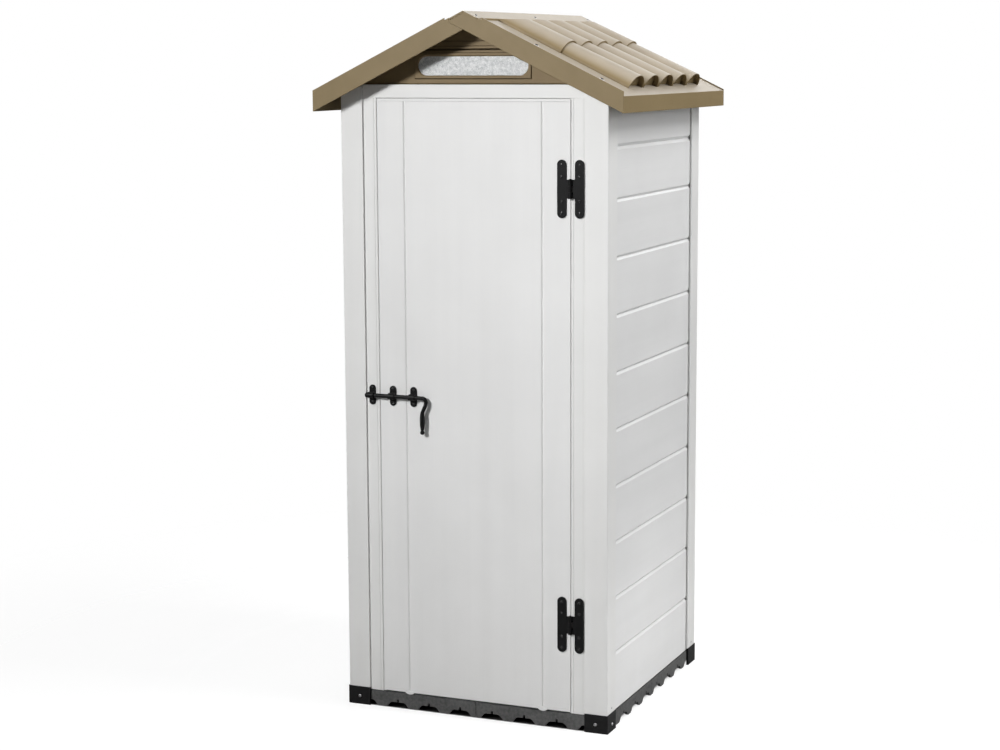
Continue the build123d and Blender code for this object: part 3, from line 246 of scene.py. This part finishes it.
def coated(name, colour, wear, rough=0.40, spec=0.25):
    """Black powder-coated steel: orange peel, dusty hollows and bare glints along the edges."""
    t = Tree(name, colour, rough)
    peel = t.noise((520.0, 520.0, 520.0), detail=2.0)
    cloud = t.noise((40.0, 40.0, 40.0), detail=4.0)
    base = t.mix(t.span(cloud, 0.3, 0.7), tuple(c * 0.75 for c in colour), tuple(c * 1.6 for c in colour))
    base = t.mix(t.span(t.corner(0.006), 0.35, 0.9, 0.0, 0.35), base, (0.035, 0.033, 0.030))
    soft = t.rounded(0.0007)
    edge = t.edges(soft)
    bare = t.math(
        "MULTIPLY",
        edge,
        t.span(t.noise((160.0, 160.0, 160.0), detail=4.0, rough=0.6), 0.46, 0.66),
    )
    base = t.mix(t.math("MULTIPLY", bare, wear), base, (0.16, 0.155, 0.15))
    return t.set(
        Base_Color=base,
        Roughness=t.span(peel, 0.3, 0.7, rough - 0.08, rough + 0.08),
        Normal=t.bump(peel, 0.22, 0.00025, soft),
        Specular_IOR_Level=spec,
    )


def plated(name, colour, rough=0.30):
    """Zinc-plated steel: fine turning marks, dull spots and painted shade with dirt in the recess."""
    t = Tree(name, colour, rough, metallic=1.0)
    brush = t.noise((1500.0, 260.0, 1500.0), detail=3.0)
    spots = t.noise((260.0, 260.0, 260.0), detail=4.0)
    base = t.mix(t.span(spots, 0.35, 0.65), tuple(c * 0.72 for c in colour), colour)
    # painted shade with dirt: the recess is darkened
    base = t.mix(t.span(t.corner(0.0022), 0.30, 0.85, 0.0, 0.8), base, (0.05, 0.048, 0.045))
    return t.set(
        Base_Color=base,
        Roughness=t.span(brush, 0.3, 0.7, rough - 0.06, rough + 0.16),
        Normal=t.bump(brush, 0.20, 0.0001),
    )


def frosted(name):
    """Hammered, frosted pane: pebbled cells with pale and grey glints."""
    t = Tree(name, (0.62, 0.64, 0.65), 0.22)
    pebble = t.cells(190.0, "SMOOTH_F1")
    fine = t.cells(420.0)
    cloud = t.noise((95.0, 95.0, 95.0), detail=3.0, rough=0.6)
    glint = t.noise((210.0, 210.0, 210.0), detail=2.0, rough=0.7)
    base = t.mix(t.span(cloud, 0.36, 0.64), (0.56, 0.58, 0.585), (0.80, 0.81, 0.812))
    base = t.mix(t.span(glint, 0.55, 0.68, 0.0, 0.50), base, (0.97, 0.97, 0.97))
    base = t.mix(t.span(glint, 0.42, 0.28, 0.0, 0.40), base, (0.36, 0.375, 0.385))
    height = t.math("ADD", t.math("MULTIPLY", pebble, 0.7), t.math("MULTIPLY", fine, 0.3))
    return t.set(
        Base_Color=base,
        Roughness=t.span(fine, 0.1, 0.6, 0.12, 0.34),
        Normal=t.bump(height, 0.6, 0.0012),
        Transmission_Weight=0.12,
        IOR=1.49,
    )


WHITE = (0.800, 0.800, 0.790)
mats = {
    "post": pvc("white_post_profile", WHITE, 2, grain=0.6),
    "rail_x": pvc("white_rail_profile_x", WHITE, 0, grain=0.6),
    "rail_y": pvc("white_rail_profile_y", WHITE, 1, grain=0.6),
    "board_side": pvc("white_side_boards", (0.795, 0.797, 0.795), 1, grain=1.5),
    "board_rear": pvc("white_rear_boards", (0.795, 0.797, 0.795), 0, grain=1.5),
    "door": pvc("white_door_profile", (0.805, 0.805, 0.800), 2, grain=0.8),
    # the roof gets the strongest painted sheen on its upward faces and a wider painted highlight along its edges
    "roof": moulded(
        "taupe_roof",
        (0.226, 0.166, 0.078),
        (0.244, 0.181, 0.088),
        (0.207, 0.151, 0.070),
        0.50,
        700.0,
        0.25,
        rub_and_highlight_gain=0.55,
        top_sheen=0.62,
        spec=0.35,
        top_sheen_colour=(0.46, 0.432, 0.398),
        radius=0.0017,
    ),
    "gable": moulded(
        "taupe_gable",
        (0.205, 0.146, 0.071),
        (0.223, 0.161, 0.080),
        (0.187, 0.132, 0.063),
        0.55,
        700.0,
        0.25,
        spec=0.35,
    ),
    "floor": moulded(
        "grey_floor_tile",
        (0.094, 0.094, 0.093),
        (0.132, 0.132, 0.130),
        (0.060, 0.060, 0.060),
        0.62,
        260.0,
        0.65,
        rub_and_highlight_gain=0.5,
        spec=0.3,
        patch=110.0,
    ),
    "block": moulded(
        "black_corner_block",
        (0.0060, 0.0060, 0.0063),
        (0.0078, 0.0078, 0.0081),
        (0.0046, 0.0046, 0.0049),
        0.48,
        600.0,
        0.3,
        rub_and_highlight_gain=0.5,
        spec=0.25,
    ),
    "iron": coated("black_coated_steel", (0.0042, 0.0042, 0.0044), 0.40, rough=0.48, spec=0.18),
    "black_screw": coated("black_coated_screws", (0.0160, 0.0160, 0.0165), 1.0, rough=0.26, spec=0.6),
    "zinc": plated("zinc_screws", (0.66, 0.66, 0.67)),
    "roof_screw": coated("grey_roof_screws", (0.480, 0.475, 0.465), 0.6, rough=0.34, spec=0.5),
    "roof_hex": coated("dark_roof_screw_heads", (0.030, 0.026, 0.022), 0.5, rough=0.40, spec=0.3),
    "pane": frosted("frosted_pane"),
}

LOOK = {
    "corner_post": "post",
    "left_door_jamb": "post",
    "right_door_jamb": "post",
    "front_top_rail": "rail_x",
    "rear_top_rail": "rail_x",
    "left_top_rail": "rail_y",
    "right_top_rail": "rail_y",
    "left_wall_boards": "board_side",
    "right_wall_boards": "board_side",
    "rear_wall_boards": "board_rear",
    "door_": "door",
    "roof_left": "roof",
    "roof_right": "roof",
    "ridge_cap": "roof",
    "front_gable": "gable",
    "rear_gable": "gable",
    "gable_window_frame": "gable",
    "gable_window_pane": "pane",
    "floor_tile": "floor",
    "corner_block": "block",
    "upper_hinge": "iron",
    "lower_hinge": "iron",
    "bolt_": "iron",
}
for name, obj in nodes.items():
    if name.endswith("screws"):
        continue
    key = next(v for k, v in LOOK.items() if name.startswith(k))
    obj.data.materials.clear()
    obj.data.materials.append(mats[key])


# ------------------------------------------------------------------ screws with real heads
def mesh_from(name, verts, faces):
    me = bpy.data.meshes.new(name)
    me.from_pydata([tuple(v) for v in verts], [], [tuple(f) for f in faces])
    me.validate()
    me.update()
    return me


def turned(profile, steps):
    """Closed solid of revolution about local Z from (radius, height) pairs, first and last on the axis."""
    verts, faces, rings = [], [], []
    for r, h in profile:
        if r < 1e-9:
            rings.append([len(verts)])
            verts.append((0.0, 0.0, h))
        else:
            rings.append(list(range(len(verts), len(verts) + steps)))
            for i in range(steps):
                a = 2 * math.pi * i / steps
                verts.append((r * math.cos(a), r * math.sin(a), h))
    for lower, upper in zip(rings, rings[1:]):
        for i in range(steps):
            j = (i + 1) % steps
            if len(lower) == 1:
                faces.append((lower[0], upper[j], upper[i]))
            elif len(upper) == 1:
                faces.append((lower[i], lower[j], upper[0]))
            else:
                faces.append((lower[i], lower[j], upper[j], upper[i]))
    return verts, faces


def pan_head(radius, height, shank, length):
    """A domed screw with a cross recess, made once and copied to each seat."""
    profile = [(0.0, -length), (shank * 0.55, -length * 0.93), (shank, -length * 0.80)]
    turns = 5
    for i in range(turns):
        z = -length * 0.80 + (length * 0.66) * (i + 0.5) / turns
        profile += [(shank * 0.80, z - length * 0.05), (shank, z)]
    profile += [(shank, 0.0), (radius, 0.0), (radius, height * 0.22)]
    for k in range(1, 7):
        a = math.pi / 2 * k / 7
        profile.append((radius * math.cos(a) ** 0.62, height * (0.22 + 0.78 * math.sin(a) ** 1.3)))
    profile.append((0.0, height))
    verts, faces = turned(profile, 28)
    head = bpy.data.objects.new("head_tmp", mesh_from("head_tmp", verts, faces))
    scene.collection.objects.link(head)
    # cross recess: two tapering slots cut out of the dome
    bm = bmesh.new()
    arm, half, deep = radius * 0.62, radius * 0.15, height * 0.62
    top = height * 1.3
    for turn in (0.0, math.pi / 2):
        made = bmesh.ops.create_cube(bm, size=1.0)["verts"]
        for v in made:
            low = v.co.z < 0
            v.co.x *= 2 * arm * (0.55 if low else 1.0)
            v.co.y *= 2 * half * (0.7 if low else 1.0)
            v.co.z = height - deep if low else top
        bmesh.ops.rotate(bm, verts=made, cent=(0, 0, 0), matrix=Matrix.Rotation(turn, 3, "Z"))
    cut_mesh = bpy.data.meshes.new("cut_tmp")
    bm.to_mesh(cut_mesh)
    bm.free()
    cut = bpy.data.objects.new("cut_tmp", cut_mesh)
    scene.collection.objects.link(cut)
    mod = head.modifiers.new("recess", "BOOLEAN")
    mod.operation, mod.solver, mod.object = "DIFFERENCE", "EXACT", cut
    mod.use_self = True
    bpy.context.view_layer.update()
    dg = bpy.context.evaluated_depsgraph_get()
    me = bpy.data.meshes.new_from_object(head.evaluated_get(dg))
    out_v = [tuple(v.co) for v in me.vertices]
    out_f = [tuple(p.vertices) for p in me.polygons]
    for o in (head, cut):
        bpy.data.objects.remove(o)
    bpy.data.meshes.remove(me)
    return out_v, out_f


def washer_head(radius, height, shank, length):
    """A hexagon roofing screw with a flange and a sealing washer."""
    profile = [
        (0.0, -length),
        (shank, -length * 0.8),
        (shank, 0.0),
        (radius * 0.98, 0.0),
        (radius, height * 0.10),
        (radius * 0.97, height * 0.20),
        (radius * 0.86, height * 0.24),
        (radius * 0.80, height * 0.34),
        (radius * 0.60, height * 0.42),
        (0.0, height * 0.44),
    ]
    verts, faces = turned(profile, 28)
    base = len(verts)
    hex_r = radius * 0.60
    for z, r in ((height * 0.40, hex_r), (height * 0.90, hex_r), (height, hex_r * 0.86)):
        for i in range(6):
            a = math.pi / 3 * i
            verts.append((r * math.cos(a), r * math.sin(a), z))
    for ring in range(2):
        for i in range(6):
            j = (i + 1) % 6
            a, b = base + ring * 6, base + (ring + 1) * 6
            faces.append((a + i, a + j, b + j, b + i))
    faces.append(tuple(base + 12 + i for i in range(6)))
    faces.append(tuple(base + i for i in reversed(range(6))))
    return verts, faces


def placed(shape, seats, turns):
    verts, faces = [], []
    for k, (origin, normal) in enumerate(seats):
        n = Vector(normal).normalized()
        q = n.to_track_quat("Z", "Y").to_matrix() @ Matrix.Rotation(turns * k, 3, "Z")
        base = len(verts)
        verts += [q @ Vector(v) + Vector(origin) for v in shape[0]]
        faces += [tuple(base + i for i in f) for f in shape[1]]
    return verts, faces


def screw_set(node, body, mat, shape, seats, centre=None, first=0):
    verts, faces = placed(shape, seats, 0.83)
    obj = bpy.data.objects.new(node + "_detail", mesh_from(node + "_detail", verts, faces))
    scene.collection.objects.link(obj)
    obj.data.materials.append(mat)
    if centre:
        # the head's own faces, after the washer's, take the second material
        obj.data.materials.append(centre)
        for face in obj.data.polygons:
            face.material_index = int(face.index % len(shape[1]) >= first)
    obj.data.shade_smooth()
    obj.data.set_sharp_from_angle(angle=math.radians(35))
    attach(obj, body)
    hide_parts(node)


CORNERS = ((-1, -1), (1, -1), (-1, 1), (1, 1))
FACE = -0.401
SLOPE = 0.4833
slope_len = math.hypot(1.0, SLOPE)


def roof_seat(side, x, y, top):
    return (side * x, y, top - SLOPE * x), (side * SLOPE / slope_len, 0.0, 1.0 / slope_len)


block_seats, foot_seats = [], []
for sx, sy in CORNERS:
    block_seats.append(((sx * 0.370, sy * 0.407, 0.025), (0, sy, 0)))
    if sy < 0:
        block_seats.append(((sx * 0.407, sy * 0.370, 0.021), (sx, 0, 0)))
    foot_seats.append(((sx * 0.405, sy * 0.369, 0.067), (sx, 0, 0)))
rim_seats = [roof_seat(s, x, y, 2.0104) for s in (-1, 1) for x in (0.186, 0.376) for y in (-0.384, 0.384)]
ridge_seats = [roof_seat(s, 0.029, y, 2.0157) for s in (-1, 1) for y in (-0.436, 0.0, 0.436)]
hinge_z = [h + dz for h in (1.5322, 0.3055) for dz in (-0.066, -0.034, 0.034, 0.066)]
out = (0, -1, 0)
door_seats = [((0.2677, FACE - 0.003, z), out) for z in hinge_z]
jamb_seats = [((0.3198, FACE - 0.003, z), out) for z in hinge_z]
staple_seats = [((x, FACE - 0.0025, 0.929 + dz), out) for x in (-0.252, -0.187) for dz in (-0.0205, 0.0205)]
keeper_seats = [((-0.317, FACE - 0.0025, 0.929 + dz), out) for dz in (-0.0205, 0.0205)]

pan_block = pan_head(0.0050, 0.0026, 0.0020, 0.0135)
pan_foot = pan_head(0.0030, 0.0016, 0.0016, 0.0095)
pan_hinge = pan_head(0.0044, 0.0018, 0.0020, 0.0085)
pan_bolt = pan_head(0.0042, 0.0018, 0.0020, 0.0085)
hex_rim = washer_head(0.0078, 0.0042, 0.0020, 0.0115)
hex_ridge = washer_head(0.0055, 0.0036, 0.0020, 0.0090)

screw_set("base_block_screws", "shed", mats["zinc"], pan_block, block_seats)
screw_set("post_foot_screws", "shed", mats["zinc"], pan_foot, foot_seats)
hex_faces = len(hex_rim[1]) - 14
screw_set("roof_rim_screws", "shed", mats["roof_screw"], hex_rim, rim_seats, mats["roof_hex"], hex_faces)
screw_set("ridge_cap_screws", "shed", mats["roof_screw"], hex_ridge, ridge_seats, mats["roof_hex"], hex_faces)
screw_set("door_hinge_screws", "door", mats["black_screw"], pan_hinge, door_seats)
screw_set("jamb_hinge_screws", "shed", mats["black_screw"], pan_hinge, jamb_seats)
screw_set("bolt_staple_screws", "door", mats["black_screw"], pan_bolt, staple_seats)
screw_set("bolt_keeper_screws", "shed", mats["black_screw"], pan_bolt, keeper_seats)

# ------------------------------------------------------------------ stage
bm = bmesh.new()
bmesh.ops.create_circle(bm, cap_ends=True, segments=96, radius=7.0)
floor_mesh = bpy.data.meshes.new("studio_floor")
bm.to_mesh(floor_mesh)
bm.free()
floor = bpy.data.objects.new("studio_floor", floor_mesh)
floor.location = (0, 0, -0.0005)
scene.collection.objects.link(floor)
ft = Tree("studio_floor", (0.34, 0.34, 0.34), 0.85)
tone = ft.noise((1.3, 1.3, 1.3), detail=3.0)
reach = ft.math("MAXIMUM", ft.math("ADD", ft.math("ABSOLUTE", ft.axis(0)), 0.014), ft.math("ABSOLUTE", ft.axis(1)))
# painted shadow: dark under the shed, pale around it
shadow_under_shed = ft.span(reach, 0.396, 0.402, 1.0, 0.0)
pale = ft.mix(ft.span(tone, 0.3, 0.7), (0.33, 0.33, 0.33), (0.35, 0.35, 0.35))
ft.set(Base_Color=ft.mix(shadow_under_shed, pale, (0.03, 0.03, 0.03)))
# the floor's glow stops under the shed so the painted shadow stays dark
ft.put(ft.bsdf.inputs["Emission Strength"], ft.span(reach, 0.395, 0.405, 0.0, 0.76))
ft.bsdf.inputs["Emission Color"].default_value = (1.0, 1.0, 1.0, 1.0)
ft.bsdf.inputs["Specular IOR Level"].default_value = 0.0
length = ft.node("ShaderNodeVectorMath", operation="LENGTH")
ft.put(length.inputs[0], ft.coord)
fade = ft.span(length.outputs["Value"], 0.9, 2.6, 1.0, 0.0)
# light that the floor throws back comes from a plain diffuse surface only, dark under the shed as a painted shadow
thrown = ft.node("ShaderNodeBsdfDiffuse")
ft.put(thrown.inputs["Color"], ft.mix(shadow_under_shed, (0.34, 0.34, 0.34), (0.03, 0.03, 0.03)))
clear = ft.node("ShaderNodeBsdfTransparent")
soften = ft.node("ShaderNodeMixShader")
ft.put(soften.inputs["Fac"], fade)
ft.put(soften.inputs[1], clear.outputs[0])
ft.put(soften.inputs[2], ft.bsdf.outputs[0])
direct = ft.node("ShaderNodeMixShader")
ft.put(direct.inputs["Fac"], ft.node("ShaderNodeLightPath").outputs["Is Camera Ray"])
ft.put(direct.inputs[1], thrown.outputs[0])
ft.put(direct.inputs[2], soften.outputs[0])
ft.put(next(n for n in ft.nt.nodes if n.type == "OUTPUT_MATERIAL").inputs["Surface"], direct.outputs[0])
floor.data.materials.append(ft.mat)

world = bpy.data.worlds.new("studio")
scene.world = world
world.use_nodes = True
wt = world.node_tree
bg = next(n for n in wt.nodes if n.type == "BACKGROUND")
bg.inputs["Color"].default_value = (1.0, 1.0, 1.0, 1.0)
bg.inputs["Strength"].default_value = 0.12
seen = wt.nodes.new("ShaderNodeBackground")
seen.inputs["Color"].default_value = (1.0, 1.0, 1.0, 1.0)
seen.inputs["Strength"].default_value = 1.0
path = wt.nodes.new("ShaderNodeLightPath")
blend = wt.nodes.new("ShaderNodeMixShader")
wt.links.new(path.outputs["Is Camera Ray"], blend.inputs["Fac"])
wt.links.new(bg.outputs[0], blend.inputs[1])
wt.links.new(seen.outputs[0], blend.inputs[2])
wt.links.new(blend.outputs[0], next(n for n in wt.nodes if n.type == "OUTPUT_WORLD").inputs["Surface"])


def area(name, place, target, size, power, spread=180.0):
    data = bpy.data.lights.new(name, "AREA")
    data.shape = "RECTANGLE"
    data.size, data.size_y = size
    data.energy = power
    data.spread = math.radians(spread)
    obj = bpy.data.objects.new(name, data)
    obj.location = place
    obj.rotation_euler = (Vector(target) - Vector(place)).to_track_quat("-Z", "Y").to_euler()
    obj.visible_camera = False
    scene.collection.objects.link(obj)


area("key", (-2.31, -5.54, 3.81), (1.25, -0.4, 1.15), (1.0, 1.0), 58.5, spread=70.0)
area("right_fill", (3.05, 0.05, 4.6), (0.4, 0.0, 1.2), (1.2, 2.4), 128.0)
area("right_soft", (4.0, 0.2, 2.4), (0.4, 0.0, 1.4), (1.2, 1.8), 35.0)
area("right_low", (1.35, 0.05, 0.12), (0.4, 0.0, 0.12), (1.1, 0.2), 0.92, spread=90.0)
area("top", (0.2, 0.2, 5.0), (0.1, 0.0, 1.9), (3.0, 3.0), 46.0)
area("back", (-0.6, 5.5, 3.8), (0.0, 0.0, 1.95), (5.0, 3.0), 120.0)

# ------------------------------------------------------------------ camera, at the photograph's angle
yaw, pitch, roll = math.radians(22.785), math.radians(8.586), math.radians(-0.270)
fwd = Vector((-math.sin(yaw) * math.cos(pitch), math.cos(yaw) * math.cos(pitch), -math.sin(pitch)))
right = Vector((math.cos(yaw), math.sin(yaw), 0.0))
up = right.cross(fwd)
r2 = right * math.cos(roll) + up * math.sin(roll)
u2 = up * math.cos(roll) - right * math.sin(roll)
cam_data = bpy.data.cameras.new("camera")
cam_data.sensor_fit = "HORIZONTAL"
cam_data.sensor_width = 36.0
cam_data.lens = 76.08
cam_data.clip_end = 100.0
cam = bpy.data.objects.new("camera", cam_data)
scene.collection.objects.link(cam)
turn = Matrix((r2, u2, -fwd)).transposed()
cam.matrix_world = Matrix.Translation((2.3535, -5.8112, 1.8931)) @ turn.to_4x4()
scene.camera = cam
